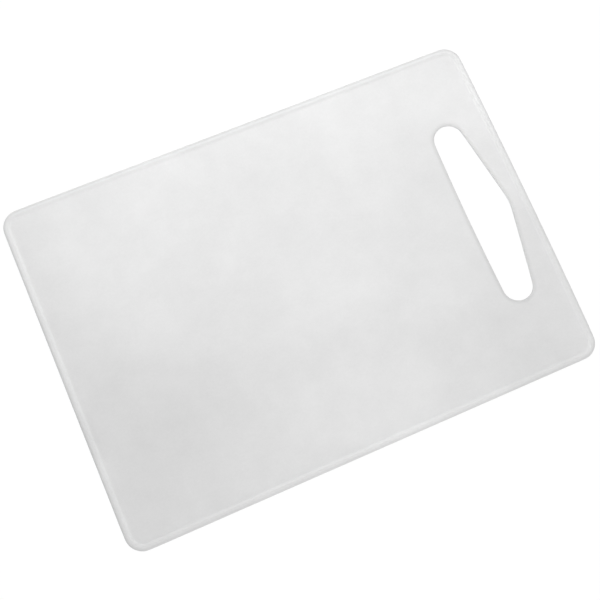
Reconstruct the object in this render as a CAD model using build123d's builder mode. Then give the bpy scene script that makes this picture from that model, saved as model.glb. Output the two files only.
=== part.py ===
"""Flexible cutting mat with a raised rim and a hand slot, cut into the bands that it flexes in.

The frame has its origin under the middle of the mat, on the table, with +X towards the end that
holds the hand slot, +Y to the far long side and +Z up. All sizes are in millimetres.
"""

import os
from math import acos, atan2, cos, degrees, hypot, sin, sqrt

from build123d import *

# Outline of the mat
mat_length = 340.0
mat_width = 240.0
corner_radius = 12.5
handle_end_bow = 1.2  # how far the middle of the handle end stands out past its corners

# Sheet and raised rim
panel_thickness = 2.0
rim_height = 1.0  # above the panel
rim_crest_width = 3.3  # from the outer edge to where the crest starts to fall
rim_slope_width = 2.2  # from the crest down to the panel
rim_outer_round = 1.0
rim_slope_round = 2.0  # where the slope leaves the crest and where it meets the panel
underside_round = 0.4

# Hand slot: one long side, two round ends and a blunt point towards the handle end
slot_inset = 45.6  # from the middle of the slot's long side to the handle end
slot_length = 133.1
slot_bow_radius = 2000.0  # of the long side, which is nearly straight
slot_end_radius = 10.8
slot_middle_width = 32.4  # to the corner where the two slanted sides would meet
slot_point_radius = 33.0
slot_upper_round = 1.1
slot_lower_round = 0.5

# Bands that the mat flexes in
slot_end_lead = 9.75  # from a flexing line to where the slot's round end begins

# How far a cutting shape runs past what it cuts
overrun = 5.0
recess_overrun = 0.5  # less, because the recess widens as it rises

# Places worked out from the sizes
end_x = mat_length / 2
side_y = mat_width / 2
rim_top = panel_thickness + rim_height
rim_foot_width = rim_crest_width + rim_slope_width
slot_inner_x = end_x - slot_inset
slot_bow_centre_x = slot_inner_x + slot_bow_radius
slot_centre_y = slot_length / 2 - slot_end_radius
slot_centre_x = slot_bow_centre_x - sqrt((slot_bow_radius - slot_end_radius) ** 2 - slot_centre_y**2)
slot_point_x = slot_inner_x + slot_middle_width

# The recess inside the rim, from the panel to just above the crest
recess_rise = rim_height + recess_overrun
recess_spread = rim_slope_width * recess_rise / rim_height

# Flexing lines on the far half, from the middle outwards. The near half mirrors them.
slot_end_line = slot_centre_y - slot_end_lead
middle_line = slot_end_line / 3  # makes the middle band as wide as each one beside it
edge_line = (slot_end_line + side_y) / 2


with BuildSketch() as outline:
    with BuildLine():
        Polyline(
            (end_x - handle_end_bow, -side_y),
            (-end_x, -side_y),
            (-end_x, side_y),
            (end_x - handle_end_bow, side_y),
        )
        ThreePointArc(
            (end_x - handle_end_bow, side_y),
            (end_x, 0),
            (end_x - handle_end_bow, -side_y),
        )
    make_face()
    fillet(outline.vertices(), corner_radius)


def slanted_side_start():
    """The angle at the slot end's centre, and the point, where the round end meets the slanted side."""
    to_point_x = slot_point_x - slot_centre_x
    reach = hypot(to_point_x, slot_centre_y)
    angle = atan2(-slot_centre_y, to_point_x) + acos(slot_end_radius / reach)
    start = (
        slot_centre_x + slot_end_radius * cos(angle),
        slot_centre_y + slot_end_radius * sin(angle),
    )
    return degrees(angle), start


slant_angle, slant_start = slanted_side_start()
bow_angle = degrees(atan2(slot_centre_y, slot_centre_x - slot_bow_centre_x))

with BuildSketch() as slot_outline:
    with BuildLine():
        CenterArc(
            center=(slot_bow_centre_x, 0),
            radius=slot_bow_radius,
            start_angle=180,
            arc_size=bow_angle - 180,
        )
        CenterArc(
            center=(slot_centre_x, slot_centre_y),
            radius=slot_end_radius,
            start_angle=bow_angle,
            arc_size=slant_angle - bow_angle,
        )
        Line(slant_start, (slot_point_x, 0))
        mirror(about=Plane.XZ)
    make_face()
    fillet(slot_outline.vertices().sort_by(Axis.X)[-1], slot_point_radius)


# The whole moulding: a slab with a rounded rim, sunk inside the rim, with the slot through it
with BuildPart() as mat:
    with BuildSketch():
        add(outline.sketch)
    extrude(amount=rim_top)
    fillet(mat.edges().group_by(Axis.Z)[-1], rim_outer_round)
    fillet(mat.edges().group_by(Axis.Z)[0], underside_round)

    with BuildSketch(Plane.XY.offset(panel_thickness)) as recess_floor:
        add(outline.sketch)
        offset(amount=-rim_foot_width, mode=Mode.REPLACE)
    with BuildSketch(Plane.XY.offset(panel_thickness + recess_rise)) as recess_mouth:
        add(outline.sketch)
        offset(amount=recess_spread - rim_foot_width, mode=Mode.REPLACE)
    loft(sections=[recess_floor.sketch, recess_mouth.sketch], ruled=True, mode=Mode.SUBTRACT)

    slope_edges = mat.edges(Select.LAST).group_by(Axis.Z)
    fillet(slope_edges[0] + slope_edges[-1], rim_slope_round)

    with BuildSketch():
        add(slot_outline.sketch)
    extrude(amount=rim_top + overrun, mode=Mode.SUBTRACT)
    flat_faces = mat.faces().filter_by(GeomType.PLANE)
    panel_face = flat_faces.filter_by_position(Axis.Z, panel_thickness, panel_thickness)[0]
    fillet(panel_face.inner_wires()[0].edges(), slot_upper_round)
    underside = mat.faces().sort_by(Axis.Z)[0]
    fillet(underside.inner_wires()[0].edges(), slot_lower_round)


def cut_piece(name, y_range, x_range):
    """One band of the mat, or the part of it on one side of the slot, written as its own piece."""
    low_y, high_y = y_range
    low_x, high_x = x_range
    with BuildPart() as piece:
        add(mat.part)
        with Locations(((low_x + high_x) / 2, (low_y + high_y) / 2, rim_top / 2)):
            Box(high_x - low_x, high_y - low_y, rim_top + overrun, mode=Mode.INTERSECT)
    piece.part.label = name
    export_step(piece.part, f"parts/{name}.step")
    return piece.part


os.makedirs("parts", exist_ok=True)

# Across the mat, and on the two sides of the slot
whole_length = (-end_x - overrun, end_x + overrun)
panel_side = (-end_x - overrun, slot_centre_x)
grip_side = (slot_centre_x, end_x + overrun)

pieces = [
    cut_piece("panel_middle", (-middle_line, middle_line), panel_side),
    cut_piece("grip_middle", (-middle_line, middle_line), grip_side),
]
bands = {
    "panel_inner": (middle_line, slot_end_line, panel_side),
    "grip_inner": (middle_line, slot_end_line, grip_side),
    "panel_slot_end": (slot_end_line, edge_line, whole_length),
    "panel_edge": (edge_line, side_y + overrun, whole_length),
}
for name, (inner_y, outer_y, x_range) in bands.items():
    pieces.append(cut_piece(f"{name}_far", (inner_y, outer_y), x_range))
    pieces.append(cut_piece(f"{name}_near", (-outer_y, -inner_y), x_range))

print(f"whole mat {mat.part.volume:.1f} mm3, pieces {sum(p.volume for p in pieces):.1f} mm3")
print(f"flexing lines at {middle_line:.3f}, {slot_end_line:.3f} and {edge_line:.3f} mm")
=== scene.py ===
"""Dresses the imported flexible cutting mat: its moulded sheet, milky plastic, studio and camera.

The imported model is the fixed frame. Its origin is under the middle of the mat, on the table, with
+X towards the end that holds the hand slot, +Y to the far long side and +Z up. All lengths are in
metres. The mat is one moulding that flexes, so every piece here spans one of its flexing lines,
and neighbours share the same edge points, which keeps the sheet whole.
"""

import logging
import math
from collections.abc import Sequence
from dataclasses import dataclass, field
from enum import Enum
from typing import NamedTuple

import bpy
from mathutils import Matrix, Vector

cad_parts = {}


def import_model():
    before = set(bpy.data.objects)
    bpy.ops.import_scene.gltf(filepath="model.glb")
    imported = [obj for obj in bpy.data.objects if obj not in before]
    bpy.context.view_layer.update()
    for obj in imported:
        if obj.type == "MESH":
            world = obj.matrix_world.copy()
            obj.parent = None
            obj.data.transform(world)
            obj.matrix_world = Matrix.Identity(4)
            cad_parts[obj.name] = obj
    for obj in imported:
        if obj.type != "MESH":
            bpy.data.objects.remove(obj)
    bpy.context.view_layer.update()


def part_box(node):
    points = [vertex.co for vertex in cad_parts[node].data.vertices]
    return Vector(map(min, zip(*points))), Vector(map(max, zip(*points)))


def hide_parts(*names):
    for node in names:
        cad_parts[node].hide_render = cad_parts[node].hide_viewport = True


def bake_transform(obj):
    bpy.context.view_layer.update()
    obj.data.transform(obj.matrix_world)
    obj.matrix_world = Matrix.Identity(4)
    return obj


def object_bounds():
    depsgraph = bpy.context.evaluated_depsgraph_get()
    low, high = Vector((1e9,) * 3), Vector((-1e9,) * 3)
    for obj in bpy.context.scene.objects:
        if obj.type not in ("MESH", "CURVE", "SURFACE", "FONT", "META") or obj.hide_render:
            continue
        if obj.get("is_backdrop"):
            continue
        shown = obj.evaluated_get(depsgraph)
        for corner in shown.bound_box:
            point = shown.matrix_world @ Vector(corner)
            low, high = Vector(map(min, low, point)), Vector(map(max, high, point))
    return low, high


LOG = logging.getLogger("cutting_mat")

# Names of the numbers that each point of the cage carries into the node trees
INSET = "inset"
SLOT_GAP = "slot_gap"
ON_TOP = "on_top"

# Both distances stop counting here, well clear of any edge
EDGE_REACH = 0.0125

# An edge's upright wall reaches this far into the distance from it
WALL_REACH = 0.0003

# Points of the cage are the same where they agree to within one of these steps
STEPS_PER_METRE = 1e7

# Noise runs from 0 to 1 about this middle, and keeps its finer parts by this share
NOISE_MIDDLE = 0.5
NOISE_ROUGHNESS = 0.74

WHITE = (1.0, 1.0, 1.0, 1.0)


class Side(Enum):
    """The two long sides of the mat, each with the sign of its Y."""

    FAR = 1
    NEAR = -1

    @property
    def label(self) -> str:
        """The word that this side's bodies and pieces carry."""
        return self.name.lower()


class Spot(NamedTuple):
    """One point of the cage, seen from above, with its distances from the nearest edges."""

    x: float
    y: float
    inset: float
    gap: float


# Node trees


class Wire:
    """An output socket that takes part in Python expressions, each of which adds Math nodes."""

    def __init__(self, bench: "NodeBench", socket: bpy.types.NodeSocket) -> None:
        """Keeps the socket and the bench that adds nodes beside it."""
        self.bench = bench
        self.socket = socket

    def math(self, operation: str, *values: "Wire | float") -> "Wire":
        """Puts the values through one Math node and returns its result."""
        return self.bench.add(
            "ShaderNodeMath", settings={"operation": operation}, inputs=dict(enumerate(values))
        )

    def __add__(self, other: "Wire | float") -> "Wire":
        """This plus other."""
        return self.math("ADD", self, other)

    def __radd__(self, other: float) -> "Wire":
        """Other plus this."""
        return self.math("ADD", other, self)

    def __sub__(self, other: "Wire | float") -> "Wire":
        """This minus other."""
        return self.math("SUBTRACT", self, other)

    def __rsub__(self, other: float) -> "Wire":
        """Other minus this."""
        return self.math("SUBTRACT", other, self)

    def __mul__(self, other: "Wire | float") -> "Wire":
        """This times other."""
        return self.math("MULTIPLY", self, other)

    def __rmul__(self, other: float) -> "Wire":
        """Other times this."""
        return self.math("MULTIPLY", other, self)

    def at_least(self, other: "Wire | float") -> "Wire":
        """The larger of this and other."""
        return self.math("MAXIMUM", self, other)

    def root(self) -> "Wire":
        """The square root of this."""
        return self.math("SQRT", self)

    def eased(self, start: "Wire | float", end: "Wire | float") -> "Wire":
        """This eased from 0 at start to 1 at end."""
        return self.bench.add(
            "ShaderNodeMapRange",
            settings={"interpolation_type": "SMOOTHSTEP"},
            inputs={"Value": self, "From Min": start, "From Max": end},
        )


class NodeBench:
    """Adds nodes to one tree and wires them."""

    def __init__(self, tree: bpy.types.NodeTree) -> None:
        """Keeps the tree."""
        self.tree = tree

    def add(
        self,
        kind: str,
        output: str | int | None = 0,
        settings: dict[str, object] | None = None,
        inputs: dict[str | int, object] | None = None,
    ) -> Wire | None:
        """Adds one node.

        Args:
            kind: The node's type, such as ShaderNodeMath.
            output: The output that is wanted, by name or number, or None where it has none.
            settings: The node's own properties, which are set before its sockets.
            inputs: A value or a Wire for each socket, by name or number.

        Returns:
            The wanted output, or None.
        """
        node = self.tree.nodes.new(kind)
        for name, value in (settings or {}).items():
            setattr(node, name, value)
        for key, value in (inputs or {}).items():
            if isinstance(value, Wire):
                self.tree.links.new(value.socket, node.inputs[key])
            else:
                node.inputs[key].default_value = value
        return None if output is None else Wire(self, node.outputs[output])


# Shape of the mat


@dataclass(frozen=True)
class MatShape:
    """Sizes of the moulding, and the lines that its cage follows."""

    length: float
    width: float

    # Flexing lines, from the middle of the mat outwards
    middle_line: float
    slot_end_line: float
    edge_line: float

    corner_radius: float = 0.0125
    handle_end_bow: float = 0.0012

    slot_inset: float = 0.0456
    slot_length: float = 0.1331
    slot_bow_radius: float = 2.0
    slot_end_radius: float = 0.0108
    slot_middle_width: float = 0.0324
    slot_point_radius: float = 0.033

    # Lines of the cage round the outer edge and round the slot, as distances from it
    rim_lines: tuple[float, ...] = (0.0, 0.00035, 0.0011, 0.0024, 0.0033, 0.0040, 0.0047, 0.0057)
    slot_lines: tuple[float, ...] = (0.0, 0.0004, 0.0011, 0.0022, 0.0036)

    # Rows of the grip close to the slot's blunt point, as distances from the middle of the mat
    point_rows: tuple[float, ...] = (0.0, 0.004, 0.009)

    corner_steps: int = 6
    slot_end_steps: int = 12
    panel_columns: int = 9
    slot_patch_margin: float = 0.0061

    @classmethod
    def from_frame(cls) -> "MatShape":
        """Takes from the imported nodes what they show, and the other sizes as they stand here."""
        low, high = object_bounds()
        return cls(
            length=high.x - low.x,
            width=high.y - low.y,
            middle_line=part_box("panel_inner_far")[0].y,
            slot_end_line=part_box("panel_slot_end_far")[0].y,
            edge_line=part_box("panel_edge_far")[0].y,
        )

    @property
    def end_x(self) -> float:
        """Where the handle end stands at its middle."""
        return self.length / 2

    @property
    def side_y(self) -> float:
        """Where a long side stands."""
        return self.width / 2

    @property
    def rim_foot(self) -> float:
        """Distance from the edge to the innermost line of the rim."""
        return self.rim_lines[-1]

    @property
    def slot_foot(self) -> float:
        """Distance from the slot to the outermost line round it."""
        return self.slot_lines[-1]

    @property
    def half_corner_steps(self) -> int:
        """Steps along half of a corner, and so along each side of the patch inside it."""
        return self.corner_steps // 2

    @property
    def patch_side_steps(self) -> int:
        """Steps along each of the two sides of the patch round the slot's end."""
        return self.slot_end_steps // 4

    @property
    def patch_top_steps(self) -> int:
        """Steps along the seam that ends the patch round the slot's end."""
        return self.slot_end_steps // 2

    @property
    def slot_inner_x(self) -> float:
        """Where the slot's long side stands at its middle."""
        return self.end_x - self.slot_inset

    @property
    def slot_centre(self) -> Vector:
        """Centre of the slot's far round end, which the long side runs into."""
        y = self.slot_length / 2 - self.slot_end_radius
        return Vector((self.slot_inner_x + self.slot_end_radius + self.sag(y), y))

    @property
    def slot_patch_left(self) -> float:
        """X of the panel's side of the patch round the slot's end."""
        return self.slot_inner_x - self.slot_patch_margin

    @property
    def slot_patch_right(self) -> float:
        """X of the grip's side of the patch round the slot's end."""
        return self.slot_centre.x + self.slot_end_radius + self.slot_patch_margin

    @property
    def slot_seam(self) -> float:
        """Y of the seam beyond the slot's end, which also ends the patch round it."""
        return self.slot_length / 2 + self.slot_patch_margin

    @property
    def slant(self) -> float:
        """Angle between the slot's slanted side and Y."""
        centre = self.slot_centre
        across = self.slot_inner_x + self.slot_middle_width - centre.x
        reach = math.hypot(across, centre.y)
        return math.acos(self.slot_end_radius / reach) - math.atan2(centre.y, across)

    def sag(self, y: float) -> float:
        """How far the slot's long side has curved in at y, from where it stands at its middle."""
        turn_radius = self.slot_bow_radius - self.slot_end_radius
        return turn_radius - math.sqrt(turn_radius**2 - y**2)

    def slot_inner_edge(self, y: float) -> float:
        """X of the slot's long side at y."""
        return self.slot_inner_x + self.sag(y)

    def curve_control(self, radius: float, step: float) -> float:
        """Radius for an arc's cage points, step apart, that gives the smooth line this radius."""
        # The smooth line takes 2/3 of its place from its own point and 1/6 from each neighbour
        return radius / (2 / 3 + math.cos(step) / 3)

    def handle_edge(self, y: float) -> float:
        """X of the bowed handle end at y."""
        return self.end_x - self.handle_end_bow * (y / self.side_y) ** 2

    def slot_outer_x(self, y: float) -> float:
        """X of the slot's slanted side at y, which bluntens into its point."""
        corner = self.slot_inner_x + self.slot_middle_width
        tip = corner - self.slot_point_radius * (1 / math.cos(self.slant) - 1)
        return min(tip, corner - abs(y) * math.tan(self.slant))

    def inset_at(self, x: float, y: float) -> float:
        """Distance from the nearest outer edge, as far as it counts."""
        nearest = min(x + self.end_x, self.handle_edge(y) - x, self.side_y - abs(y))
        return min(max(nearest, 0.0), EDGE_REACH)

    def gap_at(self, x: float, y: float) -> float:
        """Distance from the slot, as far as it counts."""
        centre = self.slot_centre
        if abs(y) > centre.y:
            distance = math.hypot(x - centre.x, abs(y) - centre.y) - self.slot_end_radius
        elif x < centre.x:
            distance = self.slot_inner_edge(y) - x
        else:
            distance = (x - self.slot_outer_x(y)) * math.cos(self.slant)
        return min(max(distance, 0.0), EDGE_REACH)

    def spot(self, x: float, y: float) -> Spot:
        """A point of the cage that lies on no edge line."""
        return Spot(x, y, self.inset_at(x, y), self.gap_at(x, y))


def steps(start: float, end: float, count: int) -> list[float]:
    """Values from start to end in count equal steps, both ends included."""
    return [start + (end - start) * i / count for i in range(count + 1)]


class CageLines:
    """The rows of cage points on the far half, each from the open end to the handle end."""

    def __init__(self, shape: MatShape) -> None:
        """Keeps the sizes."""
        self.shape = shape

    def open_rim(self, y: float) -> list[Spot]:
        """Across the rim of the open end, from its outer edge inwards."""
        end_x = self.shape.end_x
        return [Spot(line - end_x, y, line, EDGE_REACH) for line in self.shape.rim_lines]

    def handle_rim(self, y: float) -> list[Spot]:
        """Across the rim of the handle end, from its foot outwards."""
        edge = self.shape.handle_edge(y)
        return [
            Spot(edge - line, y, line, self.shape.gap_at(edge - line, y))
            for line in reversed(self.shape.rim_lines)
        ]

    def panel(self, y: float) -> list[Spot]:
        """From the open end to the patch round the slot."""
        shape = self.shape
        corner_x = shape.corner_radius - shape.end_x
        corner = steps(shape.rim_foot - shape.end_x, corner_x, shape.half_corner_steps)
        body = steps(corner_x, shape.slot_patch_left, shape.panel_columns)
        return self.open_rim(y) + [shape.spot(x, y) for x in corner[1:] + body[1:]]

    def slot_long(self, y: float) -> list[Spot]:
        """Across the edge of the slot's long side, from its foot to the slot."""
        shape = self.shape
        edge = shape.slot_inner_edge(y)
        return [Spot(edge - line, y, EDGE_REACH, line) for line in reversed(shape.slot_lines)]

    def slot_slanted(self, y: float) -> list[Spot]:
        """Across the edge of the slot's slanted side, from the slot to its foot."""
        shape = self.shape
        start = shape.slot_outer_x(y)
        lean = math.cos(shape.slant)
        return [
            Spot(start + line / lean, y, shape.inset_at(start + line / lean, y), line)
            for line in shape.slot_lines
        ]

    def grip(self, start: Spot, y: float, cells: int) -> list[Spot]:
        """From a point beside the slot to the outer edge of the handle end.

        Args:
            start: The point, which isn't repeated.
            y: The row.
            cells: How many cells lie between the point and the foot of the rim.

        Returns:
            The points after start.
        """
        shape = self.shape
        foot = shape.handle_edge(y) - shape.rim_foot
        between = steps(start.x, foot, cells)[1:-1]
        return [shape.spot(x, y) for x in between] + self.handle_rim(y)

    def slot_end_radii(self) -> list[list[Spot]]:
        """The lines that run out from the slot's round end, one for each step along it."""
        shape = self.shape
        centre = shape.slot_centre
        turn = steps(math.pi, shape.slant, shape.slot_end_steps)
        step = turn[0] - turn[1]
        side_steps = shape.patch_side_steps
        last_reach = shape.slot_end_radius + 2 * shape.slot_foot
        last = centre + self.direction(shape.slant) * last_reach
        left = [(shape.slot_patch_left, y) for y in steps(centre.y, shape.slot_seam, side_steps)]
        top = [(x, shape.slot_seam) for x in self.patch_columns(shape.slot_patch_right)]
        right_y = steps(shape.slot_seam, last.y, side_steps)
        right_x = steps(shape.slot_patch_right, last.x, side_steps)
        border = left + top[1:] + list(zip(right_x, right_y))[1:]
        radii = []
        for index, (angle, (x, y)) in enumerate(zip(turn, border)):
            on_line = index in (0, shape.slot_end_steps)
            row = [shape.spot(x, y)]
            for line in reversed(shape.slot_lines):
                radius = shape.slot_end_radius + line
                if not on_line:
                    radius = shape.curve_control(radius, step)
                place = centre + self.direction(angle) * radius
                row.append(Spot(place.x, place.y, shape.inset_at(place.x, place.y), line))
            radii.append(row)
        return radii

    def patch_columns(self, right: float) -> list[float]:
        """X of the columns that pass over the slot's end, as far as right."""
        return steps(self.shape.slot_patch_left, right, self.shape.patch_top_steps)

    def whole_row(self, y: float) -> list[Spot]:
        """From one end of the mat to the other, beyond the slot."""
        shape = self.shape
        corner_y = shape.side_y - shape.corner_radius
        share = (y - shape.slot_seam) / (corner_y - shape.slot_seam)
        corner_x = shape.handle_edge(corner_y) - shape.corner_radius
        right = shape.slot_patch_right + share * (corner_x - shape.slot_patch_right)
        over = [shape.spot(x, y) for x in self.patch_columns(right)]
        return self.panel(y) + over[1:] + self.grip(over[-1], y, shape.half_corner_steps)

    @staticmethod
    def direction(angle: float) -> Vector:
        """The unit vector at this angle from +X."""
        return Vector((math.cos(angle), math.sin(angle)))


class Sheet:
    """A flat net of four-sided cells that becomes the top and underside of one closed piece."""

    def __init__(self, side: Side) -> None:
        """Starts an empty net on this side of the mat."""
        self.side = side
        self.spots: list[Spot] = []
        self.cells: list[tuple[int, ...]] = []
        self.known: dict[tuple[int, int], int] = {}

    def index_of(self, spot: Spot) -> int:
        """The number of the point here, which is added if it is new."""
        placed = spot._replace(y=spot.y * self.side.value)
        key = (round(placed.x * STEPS_PER_METRE), round(placed.y * STEPS_PER_METRE))
        if key not in self.known:
            self.known[key] = len(self.spots)
            self.spots.append(placed)
        return self.known[key]

    def add_patch(self, rows: Sequence[Sequence[Spot]]) -> None:
        """Fills the grid of points with cells, all of them turned to face up.

        Args:
            rows: Rows of the same number of points, given for the far side.
        """
        numbers = [[self.index_of(spot) for spot in row] for row in rows]
        for low, high in zip(numbers, numbers[1:]):
            for i in range(len(low) - 1):
                cell = (low[i], low[i + 1], high[i + 1], high[i])
                self.cells.append(cell if self.turns_left(cell) else cell[::-1])

    def turns_left(self, cell: Sequence[int]) -> bool:
        """True if the cell runs anticlockwise seen from above."""
        a, b, c, d = (Vector(self.spots[i][:2]) for i in cell)
        return (c - a).cross(d - b) > 0

    def open_edges(self) -> list[tuple[int, int]]:
        """Edges with a cell on one side only, each with that cell on its left."""
        edges = {
            (cell[i], cell[(i + 1) % len(cell)]) for cell in self.cells for i in range(len(cell))
        }
        return sorted(edge for edge in edges if edge[::-1] not in edges)

    def is_seam(self, edge: tuple[int, int]) -> bool:
        """True where the mat goes on in the next piece, so off its own edge and the slot's."""
        a, b = (self.spots[i] for i in edge)
        return max(a.inset, b.inset) > 0 and max(a.gap, b.gap) > 0

    def closed_mesh(self, name: str) -> bpy.types.Mesh:
        """Doubles the net into a top and an underside, with walls between their edges.

        Args:
            name: The mesh's name.

        Returns:
            A closed mesh, still flat, whose seams are creased and whose points carry INSET,
            SLOT_GAP and ON_TOP for the tree that gives it its section.
        """
        count = len(self.spots)
        open_edges = self.open_edges()
        faces = list(self.cells)
        faces += [tuple(i + count for i in reversed(cell)) for cell in self.cells]
        faces += [(a + count, b + count, b, a) for a, b in open_edges]
        mesh = bpy.data.meshes.new(name)
        flat = [(spot.x, spot.y, 0.0) for spot in self.spots]
        mesh.from_pydata(flat + flat, [], faces)

        seams = [edge for edge in open_edges if self.is_seam(edge)]
        walls = {i for edge in open_edges if not self.is_seam(edge) for i in edge}
        sharp = {frozenset((a + shift, b + shift)) for a, b in seams for shift in (0, count)}
        sharp |= {frozenset((i, i + count)) for edge in seams for i in edge if i in walls}
        creased = [frozenset(edge.vertices) in sharp for edge in mesh.edges]
        crease = mesh.attributes.new("crease_edge", "FLOAT", "EDGE")
        crease.data.foreach_set("value", [float(flag) for flag in creased])
        sharpness = mesh.attributes.new("sharp_edge", "BOOLEAN", "EDGE")
        sharpness.data.foreach_set("value", creased)

        insets = [spot.inset for spot in self.spots]
        gaps = [spot.gap for spot in self.spots]
        carried = {INSET: insets * 2, SLOT_GAP: gaps * 2, ON_TOP: [1.0] * count + [0.0] * count}
        for key, values in carried.items():
            mesh.attributes.new(key, "FLOAT", "POINT").data.foreach_set("value", values)
        mesh.shade_smooth()
        sharpness.data.foreach_set("value", creased)
        mesh.validate()
        return mesh


def filled_patch(
    low: Sequence[Spot], high: Sequence[Spot], left: Sequence[Spot], right: Sequence[Spot],
    shape: MatShape,
) -> list[list[Spot]]:
    """Fills a four-sided patch from its borders.

    Args:
        low: The first row, from left to right.
        high: The last row, from left to right.
        left: The left border, from low to high.
        right: The right border, from low to high.
        shape: Sizes of the mat, for the distances that the new points carry.

    Returns:
        All rows, borders included.
    """
    rows, columns = len(left) - 1, len(low) - 1
    patch = [list(low)]
    for j in range(1, rows):
        v = j / rows
        row = [left[j]]
        for i in range(1, columns):
            u = i / columns
            place = [
                (1 - v) * low[i][k] + v * high[i][k] + (1 - u) * left[j][k] + u * right[j][k]
                - (1 - u) * (1 - v) * low[0][k] - u * (1 - v) * low[-1][k]
                - (1 - u) * v * high[0][k] - u * v * high[-1][k]
                for k in (0, 1)
            ]
            row.append(shape.spot(*place))
        patch.append(row + [right[j]])
    return patch + [list(high)]


# Section of the mat


@dataclass(frozen=True)
class MouldedSection:
    """The tree that lifts a flat cage into the mat's section: panel, raised rim and soft edges."""

    panel_thickness: float = 0.002
    rim_height: float = 0.001
    crest_width: float = 0.0032
    slope_width: float = 0.0016
    outer_round: float = 0.0010
    underside_round: float = 0.0004
    shoulder_width: float = 0.0034
    shoulder_drop: float = 0.0003
    slot_upper_round: float = 0.0005
    slot_lower_round: float = 0.0005

    def inputs(self) -> dict[str, float]:
        """The tree's named inputs with their values."""
        return {
            "Panel Thickness": self.panel_thickness,
            "Rim Height": self.rim_height,
            "Crest Width": self.crest_width,
            "Slope Width": self.slope_width,
            "Outer Round": self.outer_round,
            "Underside Round": self.underside_round,
            "Shoulder Width": self.shoulder_width,
            "Shoulder Drop": self.shoulder_drop,
            "Slot Upper Round": self.slot_upper_round,
            "Slot Lower Round": self.slot_lower_round,
        }

    def tree(self) -> bpy.types.NodeTree:
        """Builds the tree.

        Returns:
            A Geometry Nodes tree with the inputs above, the flat cage and a material.
        """
        tree = bpy.data.node_groups.new("moulded_section", "GeometryNodeTree")
        tree.is_modifier = True
        tree.interface.new_socket("Geometry", in_out="INPUT", socket_type="NodeSocketGeometry")
        for name, value in self.inputs().items():
            socket = tree.interface.new_socket(
                name, in_out="INPUT", socket_type="NodeSocketFloat"
            )
            socket.default_value = value
        tree.interface.new_socket("Material", in_out="INPUT", socket_type="NodeSocketMaterial")
        tree.interface.new_socket("Geometry", in_out="OUTPUT", socket_type="NodeSocketGeometry")

        bench = NodeBench(tree)
        given = bench.tree.nodes.new("NodeGroupInput")
        size = {name: Wire(bench, given.outputs[name]) for name in self.inputs()}
        inset, gap, on_top = (
            bench.add(
                "GeometryNodeInputNamedAttribute",
                settings={"data_type": "FLOAT"},
                inputs={"Name": name},
            )
            for name in (INSET, SLOT_GAP, ON_TOP)
        )
        crest, slope = size["Crest Width"], size["Slope Width"]
        rim = size["Rim Height"] * (1 - inset.eased(crest, crest + slope))
        shoulder = size["Shoulder Drop"] * (1 - gap.eased(0.0, size["Shoulder Width"]))
        top = size["Panel Thickness"] + rim - shoulder
        top = top - self.rounding(inset, size["Outer Round"])
        top = top - self.rounding(gap, size["Slot Upper Round"])
        under = self.rounding(inset, size["Underside Round"])
        under = under + self.rounding(gap, size["Slot Lower Round"])
        height = under + on_top * (top - under)

        raised = bench.add(
            "GeometryNodeSetPosition",
            inputs={
                "Geometry": Wire(bench, given.outputs["Geometry"]),
                "Offset": bench.add("ShaderNodeCombineXYZ", inputs={"Z": height}),
            },
        )
        whole = bench.add("GeometryNodeRealizeInstances", inputs={"Geometry": raised})
        dressed = bench.add(
            "GeometryNodeSetMaterial",
            inputs={"Geometry": whole, "Material": Wire(bench, given.outputs["Material"])},
        )
        bench.add("NodeGroupOutput", output=None, inputs={"Geometry": dressed})
        return tree

    @staticmethod
    def rounding(distance: Wire, radius: Wire) -> Wire:
        """How far a quarter-round edge has fallen at this distance from it."""
        left = (radius - distance).at_least(0.0)
        return radius - (radius * radius - left * left).at_least(0.0).root()


# Finish


class CloudAndLightLayer(NamedTuple):
    """One layer of clouds in the plastic, with the place in the noise that it shows. The places are
    chosen so that the lighter and darker patches also paint uneven light and shade.
    """

    size: float
    depth: float
    detail: float
    roughness: float
    place: tuple[float, float, float]


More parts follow.
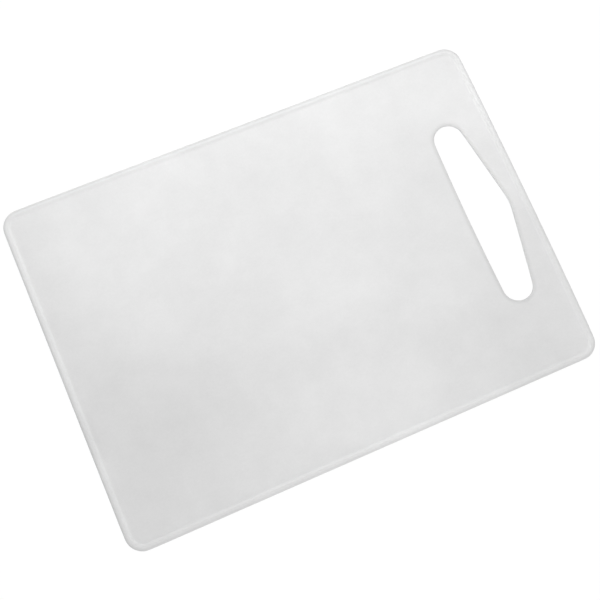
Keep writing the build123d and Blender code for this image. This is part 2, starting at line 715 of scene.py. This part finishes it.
@dataclass(frozen=True)
class MilkyPlastic:
    """Milky, satin polyethylene: near white, faintly clouded, with a very fine grain, and with
    painted light and shade in its clouds and beside its edges.
    """

    colour: float = 0.798

    # Broad clouds that fade into ever finer ones, then broader and smaller soft ones. Their places
    # in the noise are chosen so that their patches also stand for uneven light on the mat: painted
    # light and shade as well as clouding.
    cloud_and_light_layers: tuple[CloudAndLightLayer, ...] = (
        CloudAndLightLayer(0.10, depth=0.27, detail=6.0, roughness=NOISE_ROUGHNESS, place=(2.47, -2.02, 2.17)),
        CloudAndLightLayer(0.13, depth=0.125, detail=2.0, roughness=0.5, place=(-2.31, -1.36, 0.33)),
        CloudAndLightLayer(0.055, depth=0.093, detail=2.0, roughness=0.5, place=(-1.39, -1.46, -2.18)),
    )

    speckle_size: float = 0.0016
    speckle_depth: float = 0.045
    speckle_detail: float = 1.0

    # Painted light and shade beside the moulded edges: painted shade where the outer edge is
    # rounded off and beside the slot, and painted light on the raised rim's crest and its inner
    # slope. Each line says where its band starts to fade and where it has faded, and the rise where
    # the band starts and where it is full.
    # Painted shade along the rounded outer edge
    rim_edge_painted_shade: float = 0.09
    rim_edge_shade_line: tuple[float, float] = (0.0009, 0.0024)
    # Painted light on the raised rim's crest
    rim_painted_light: float = 0.017
    rim_painted_light_line: tuple[float, float] = (0.0042, 0.0056)
    # Painted highlight on the rim's inner slope
    slope_painted_highlight: float = 0.015
    slope_highlight_rise: tuple[float, float] = (0.0030, 0.0038)
    slope_highlight_line: tuple[float, float] = (0.0044, 0.0054)
    # Painted shade beside the slot's rounded edge
    lip_painted_shade: float = 0.13
    lip_shade_line: tuple[float, float] = (0.0004, 0.0033)

    # Satin gloss, which varies faintly
    roughness: float = 0.42
    roughness_spread: float = 0.06
    haze_size: float = 0.012
    haze_detail: float = 4.0
    refraction: float = 1.5

    # Relief of the surface
    grain_size: float = 0.0004
    grain_height: float = 0.000012
    ripple_size: float = 0.006
    ripple_height: float = 0.00002
    relief_detail: float = 2.0

    def material(self) -> bpy.types.Material:
        """Builds the material.

        Returns:
            A node material that reads Object coordinates and the cage's distances from its edges,
            by which it paints light and shade beside them.
        """
        material = bpy.data.materials.new("milky_plastic_finish")
        material.use_nodes = True
        material.node_tree.nodes.clear()
        bench = NodeBench(material.node_tree)
        place = bench.add("ShaderNodeTexCoord", output="Object")
        haze = self.noise(bench, place, self.haze_size, self.haze_detail)
        speckle = self.noise(bench, place, self.speckle_size, self.speckle_detail)
        grain = self.noise(bench, place, self.grain_size, self.relief_detail)
        ripple = self.noise(bench, place, self.ripple_size, self.relief_detail)

        shade = self.speckle_depth * (speckle - NOISE_MIDDLE)
        # Clouds in the plastic, placed so that they also paint uneven light and shade
        for layer in self.cloud_and_light_layers:
            moved = bench.add(
                "ShaderNodeMapping", inputs={"Vector": place, "Location": layer.place}
            )
            cloud_and_light = self.noise(bench, moved, layer.size, layer.detail, layer.roughness)
            shade = shade + layer.depth * (cloud_and_light - NOISE_MIDDLE)
        shade = self.colour * (1 + shade)
        # Painted shade along the rounded outer edge
        shade = shade * (1 - self.rim_edge_painted_shade * self.beside(bench, INSET, self.rim_edge_shade_line))
        # Painted light on the raised rim's crest
        shade = shade * (1 + self.rim_painted_light * self.beside(bench, INSET, self.rim_painted_light_line))
        # Painted highlight on the rim's inner slope
        slope = self.beside(bench, INSET, self.slope_highlight_line, self.slope_highlight_rise)
        shade = shade * (1 + self.slope_painted_highlight * slope)
        # Painted shade beside the slot's rounded edge
        shade = shade * (1 - self.lip_painted_shade * self.beside(bench, SLOT_GAP, self.lip_shade_line))
        colour = bench.add(
            "ShaderNodeCombineColor", inputs={"Red": shade, "Green": shade, "Blue": shade}
        )
        roughness = self.roughness + self.roughness_spread * (haze - NOISE_MIDDLE)
        height = grain * self.grain_height + ripple * self.ripple_height
        bump = bench.add(
            "ShaderNodeBump", inputs={"Strength": 1.0, "Distance": 1.0, "Height": height}
        )
        surface = bench.add(
            "ShaderNodeBsdfPrincipled",
            inputs={
                "Base Color": colour,
                "Roughness": roughness,
                "IOR": self.refraction,
                "Normal": bump,
            },
        )
        bench.add("ShaderNodeOutputMaterial", output=None, inputs={"Surface": surface})
        return material

    def beside(
        self,
        bench: NodeBench,
        distance: str,
        line: tuple[float, float],
        rise: tuple[float, float] = (0.0, WALL_REACH),
    ) -> Wire:
        """A band beside an edge, which leaves out the edge's upright wall; it places the painted
        light and shade.

        Args:
            bench: The material's bench.
            distance: The attribute that holds the distance from the edge.
            line: Where the band starts to fade, and where it has faded.
            rise: Where the band starts, and where it is full.

        Returns:
            1 in the band and 0 away from it.
        """
        away = bench.add(
            "ShaderNodeAttribute", output="Fac", settings={"attribute_name": distance}
        )
        return (1 - away.eased(*line)) * away.eased(*rise)

    @staticmethod
    def noise(
        bench: NodeBench,
        place: Wire,
        size: float,
        detail: float,
        roughness: float = NOISE_ROUGHNESS,
    ) -> Wire:
        """Smooth noise whose features are about this size across."""
        return bench.add(
            "ShaderNodeTexNoise",
            inputs={
                "Vector": place,
                "Scale": 1 / size,
                "Detail": detail,
                "Roughness": roughness,
            },
        )


# Pieces


@dataclass
class MatHalf:
    """One half of the mat, from its middle to a long side, in four pieces."""

    side: Side
    shape: MatShape
    section: MouldedSection
    tree: bpy.types.NodeTree
    finish: bpy.types.Material
    smoothing: int = 3
    bend_reach: float = 0.003
    lines: CageLines = field(init=False)

    def __post_init__(self) -> None:
        """Sets out the cage's lines."""
        self.lines = CageLines(self.shape)

    def build(self) -> list[bpy.types.Object]:
        """Makes the pieces and hides the frame's nodes that they stand in for.

        Returns:
            The finished pieces, from the middle of the mat outwards.
        """
        label = self.side.label
        shape = self.shape
        inner, slot_end, edge = f"inner_{label}", f"slot_end_{label}", f"edge_{label}"
        made = (
            ("panel_strip", self.panel_strip(), ("middle", inner), shape.middle_line,
             ("panel_middle", f"panel_inner_{label}")),
            ("grip_strip", self.grip_strip(), ("middle", inner), shape.middle_line,
             ("grip_middle", f"grip_inner_{label}")),
            ("slot_end_sheet", self.slot_end_sheet(), (inner, slot_end), shape.slot_end_line,
             (f"panel_inner_{label}", f"grip_inner_{label}", f"panel_slot_end_{label}")),
            ("side_sheet", self.side_sheet(), (slot_end, edge), shape.edge_line,
             (f"panel_slot_end_{label}", f"panel_edge_{label}")),
        )
        pieces = []
        for name, sheet, bodies, line, nodes in made:
            piece = self.moulded(f"{name}_{label}", sheet)
            sign = self.side.value
            start = (0.0, sign * (line - self.bend_reach), 0.0)
            end = (0.0, sign * (line + self.bend_reach), 0.0)
            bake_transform(piece)
            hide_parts(*nodes)
            pieces.append(piece)
        return pieces

    def panel_strip(self) -> Sheet:
        """The band between the middle and the slot's end, on the panel's side of the slot."""
        sheet = Sheet(self.side)
        rows = steps(0.0, 2 * self.shape.middle_line, 2)
        sheet.add_patch([self.lines.panel(y) + self.lines.slot_long(y) for y in rows])
        return sheet

    def grip_row(self, y: float) -> list[Spot]:
        """From the slot's slanted side to the outer edge of the handle end."""
        lip = self.lines.slot_slanted(y)
        return lip + self.lines.grip(lip[-1], y, self.shape.half_corner_steps + 1)

    def grip_strip(self) -> Sheet:
        """The band between the middle and the slot's end, on the grip's side of the slot."""
        sheet = Sheet(self.side)
        line = self.shape.middle_line
        rows = (*self.shape.point_rows, line, 2 * line)
        sheet.add_patch([self.grip_row(y) for y in rows])
        return sheet

    def slot_end_sheet(self) -> Sheet:
        """The band that goes round the slot's end, from one side of the slot to the other."""
        shape, lines = self.shape, self.lines
        sheet = Sheet(self.side)
        low_rows = (2 * shape.middle_line, shape.slot_end_line)
        side_steps = shape.patch_side_steps
        radii = lines.slot_end_radii()

        long_rows = (*low_rows, shape.slot_centre.y)
        sheet.add_patch([lines.panel(y) + lines.slot_long(y) for y in long_rows])
        sheet.add_patch([lines.panel(radii[i][0].y) for i in range(side_steps + 1)])
        sheet.add_patch(radii)

        slanted = [self.grip_row(y) for y in low_rows]
        right = radii[: -side_steps - 2 : -1]
        tails = [
            row[:1] + lines.grip(row[0], row[0].y, shape.half_corner_steps) for row in right
        ]
        sheet.add_patch([*slanted, right[0][::-1] + tails[0][1:]])
        sheet.add_patch(tails)
        return sheet

    def side_sheet(self) -> Sheet:
        """The band that ends in the long side, with the mat's two corners."""
        shape, lines = self.shape, self.lines
        sheet = Sheet(self.side)
        corner_y = shape.side_y - shape.corner_radius
        half = shape.half_corner_steps
        line = shape.edge_line
        rows = (shape.slot_seam, line, 2 * line - shape.slot_seam, corner_y)
        body = [lines.whole_row(y) for y in rows]
        sheet.add_patch(body)

        # Over the panel, between the corners
        rim = len(shape.rim_lines) - 1
        inner = body[-1][rim + half: -rim - half]
        foot_y = shape.side_y - shape.rim_foot
        heights = steps(corner_y, foot_y, half)[1:-1]
        tiers = [inner]
        tiers += [[shape.spot(spot.x, y) for spot in inner] for y in heights]
        tiers += [
            [Spot(spot.x, shape.side_y - inset, inset, EDGE_REACH) for spot in inner]
            for inset in reversed(shape.rim_lines)
        ]
        sheet.add_patch(tiers)

        for column, towards in ((0, -1), (-1, 1)):
            self.add_corner(sheet, [tier[column] for tier in tiers[: half + 1]], towards)
        return sheet

    def add_corner(self, sheet: Sheet, upright: Sequence[Spot], towards: int) -> None:
        """Adds one corner of the mat.

        Args:
            sheet: The net that gets it.
            upright: The column beside the corner, from the corner's centre out to the rim's foot.
            towards: -1 at the open end, 1 at the handle end.
        """
        shape = self.shape
        count = shape.corner_steps
        centre = upright[0]
        turn = math.pi / 2 / count
        arcs = []
        for index in range(count + 1):
            way = CageLines.direction(index * turn)
            arc = []
            for line in shape.rim_lines:
                radius = shape.corner_radius - line
                if 0 < index < count:
                    radius = shape.curve_control(radius, turn)
                x = centre.x + towards * way.x * radius
                arc.append(Spot(x, centre.y + way.y * radius, line, EDGE_REACH))
            arcs.append(arc)
        sheet.add_patch(arcs)

        half = shape.half_corner_steps
        foot = [arc[-1] for arc in arcs]
        level = [
            shape.spot(centre.x + (foot[0].x - centre.x) * i / half, centre.y)
            for i in range(half)
        ] + [foot[0]]
        sheet.add_patch(
            filled_patch(
                low=level,
                high=foot[half:][::-1],
                left=upright,
                right=foot[: half + 1],
                shape=shape,
            )
        )

    def moulded(self, name: str, sheet: Sheet) -> bpy.types.Object:
        """Gives a flat net its section, its finish and its smooth surface.

        Args:
            name: The piece's name.
            sheet: Its net.

        Returns:
            The piece, with no parent.
        """
        piece = bpy.data.objects.new(name, sheet.closed_mesh(name))
        bpy.context.scene.collection.objects.link(piece)
        section = piece.modifiers.new("section", "NODES")
        section.node_group = self.tree
        values = {**self.section.inputs(), "Material": self.finish}
        for item in self.tree.interface.items_tree:
            if item.in_out == "INPUT" and item.name in values:
                section[item.identifier] = values[item.name]
        graph = bpy.context.evaluated_depsgraph_get()
        shaped = bpy.data.meshes.new_from_object(
            piece.evaluated_get(graph), preserve_all_data_layers=True, depsgraph=graph
        )
        flat = piece.data
        piece.modifiers.remove(section)
        piece.data = shaped
        bpy.data.meshes.remove(flat)
        shaped.name = name
        smooth = piece.modifiers.new("smooth", "SUBSURF")
        smooth.levels = smooth.render_levels = self.smoothing
        smooth.use_limit_surface = True
        return piece


# Studio


@dataclass(frozen=True)
class Softbox:
    """One square soft light, with its side, its power in watts and the point that it faces."""

    name: str
    place: tuple[float, float, float]
    side: float
    power: float
    aim: tuple[float, float, float] = (0.0, 0.0, 0.0)

    def hang(self) -> None:
        """Adds the light to the scene."""
        light = bpy.data.lights.new(self.name, "AREA")
        light.shape = "SQUARE"
        light.size = self.side
        light.energy = self.power
        lamp = bpy.data.objects.new(self.name, light)
        facing = Vector(self.aim) - Vector(self.place)
        lamp.location = self.place
        lamp.rotation_euler = facing.to_track_quat("-Z", "Y").to_euler()
        bpy.context.scene.collection.objects.link(lamp)


@dataclass
class Studio:
    """A white table under soft light from the front and the rear, and the photograph's camera."""

    # The table lies just under the mat. Most of what is seen of it is its glow, and the rest
    # takes the mat's shadow.
    floor_size: float = 8.0
    floor_drop: float = 0.0001
    floor_shade: float = 0.86
    floor_glow: float = 0.95

    # Just above white, so that what is seen of the background has no grain
    white: float = 1.03
    world_strength: float = 0.41

    camera_place: tuple[float, float, float] = (-0.11042, -0.11301, 0.68217)
    camera_aim: tuple[float, float, float] = (-0.00615, -0.00855, 0.002)
    camera_up: tuple[float, float, float] = (0.3749, 0.9060, 0.1966)
    camera_lens: float = 62.4
    camera_sensor: float = 36.0

    softboxes: tuple[Softbox, ...] = (
        Softbox("front_softbox", (0.0, -0.953, 0.55), side=0.7, power=3.71),
        Softbox("rear_softbox", (0.0, 0.953, 0.55), side=0.7, power=2.07),
        Softbox("rear_left_softbox", (-0.15, 0.20, 0.25), side=0.3, power=0.135),
        Softbox("rear_right_softbox", (0.15, 0.20, 0.45), side=0.3, power=0.82),
    )

    def build(self) -> None:
        """Lays the floor, hangs the lights and sets up the camera."""
        self.floor()
        self.world()
        for softbox in self.softboxes:
            softbox.hang()
        self.camera()
        scene = bpy.context.scene
        scene.view_settings.view_transform = "Standard"

    def seen(self, bench: NodeBench) -> Wire:
        """1 for rays that show a surface: from the camera, by reflection or through something."""
        flags = [
            bench.add("ShaderNodeLightPath", output=name)
            for name in ("Is Camera Ray", "Is Glossy Ray", "Is Transmission Ray")
        ]
        return flags[0].at_least(flags[1]).at_least(flags[2])

    def floor(self) -> None:
        """A plane that reads white and still takes the mat's shadow."""
        half = self.floor_size / 2
        mesh = bpy.data.meshes.new("table_top")
        square = [(-half, -half), (half, -half), (half, half), (-half, half)]
        mesh.from_pydata([(x, y, -self.floor_drop) for x, y in square], [], [(0, 1, 2, 3)])
        material = bpy.data.materials.new("table_top_finish")
        material.use_nodes = True
        material.node_tree.nodes.clear()
        bench = NodeBench(material.node_tree)
        shade = (*(self.floor_shade,) * 3, 1.0)
        matt = bench.add("ShaderNodeBsdfDiffuse", inputs={"Color": shade})
        glow = bench.add("ShaderNodeEmission", inputs={"Color": WHITE, "Strength": self.white})
        surface = bench.add(
            "ShaderNodeMixShader",
            inputs={0: self.seen(bench) * self.floor_glow, 1: matt, 2: glow},
        )
        bench.add("ShaderNodeOutputMaterial", output=None, inputs={"Surface": surface})
        mesh.materials.append(material)
        table = bpy.data.objects.new("table_top", mesh)
        bpy.context.scene.collection.objects.link(table)
        table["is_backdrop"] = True

    def world(self) -> None:
        """Even light from all round, which looks white where it is seen."""
        world = bpy.data.worlds.new("studio_world")
        world.use_nodes = True
        world.node_tree.nodes.clear()
        bench = NodeBench(world.node_tree)
        strength = self.world_strength + self.seen(bench) * (self.white - self.world_strength)
        light = bench.add("ShaderNodeBackground", inputs={"Color": WHITE, "Strength": strength})
        bench.add("ShaderNodeOutputWorld", output=None, inputs={"Surface": light})
        bpy.context.scene.world = world

    def camera(self) -> None:
        """Sets up the camera where the photograph was taken from."""
        data = bpy.data.cameras.new("photo_camera")
        data.lens = self.camera_lens
        data.sensor_width = self.camera_sensor
        forward = (Vector(self.camera_aim) - Vector(self.camera_place)).normalized()
        right = forward.cross(Vector(self.camera_up)).normalized()
        up = right.cross(forward)
        turn = Matrix((right, up, -forward)).transposed()
        camera = bpy.data.objects.new("photo_camera", data)
        camera.matrix_world = Matrix.Translation(self.camera_place) @ turn.to_4x4()
        bpy.context.scene.collection.objects.link(camera)
        bpy.context.scene.camera = camera


def main() -> None:
    """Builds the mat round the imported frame, then the studio."""
    logging.basicConfig(level=logging.INFO, format="%(message)s")
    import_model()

    shape = MatShape.from_frame()
    section = MouldedSection()
    tree = section.tree()
    finish = MilkyPlastic().material()
    for side in Side:
        half = MatHalf(side=side, shape=shape, section=section, tree=tree, finish=finish)
        for piece in half.build():
            LOG.info("%s: %d cage faces", piece.name, len(piece.data.polygons))
    Studio().build()


if __name__ == "__main__":
    main()
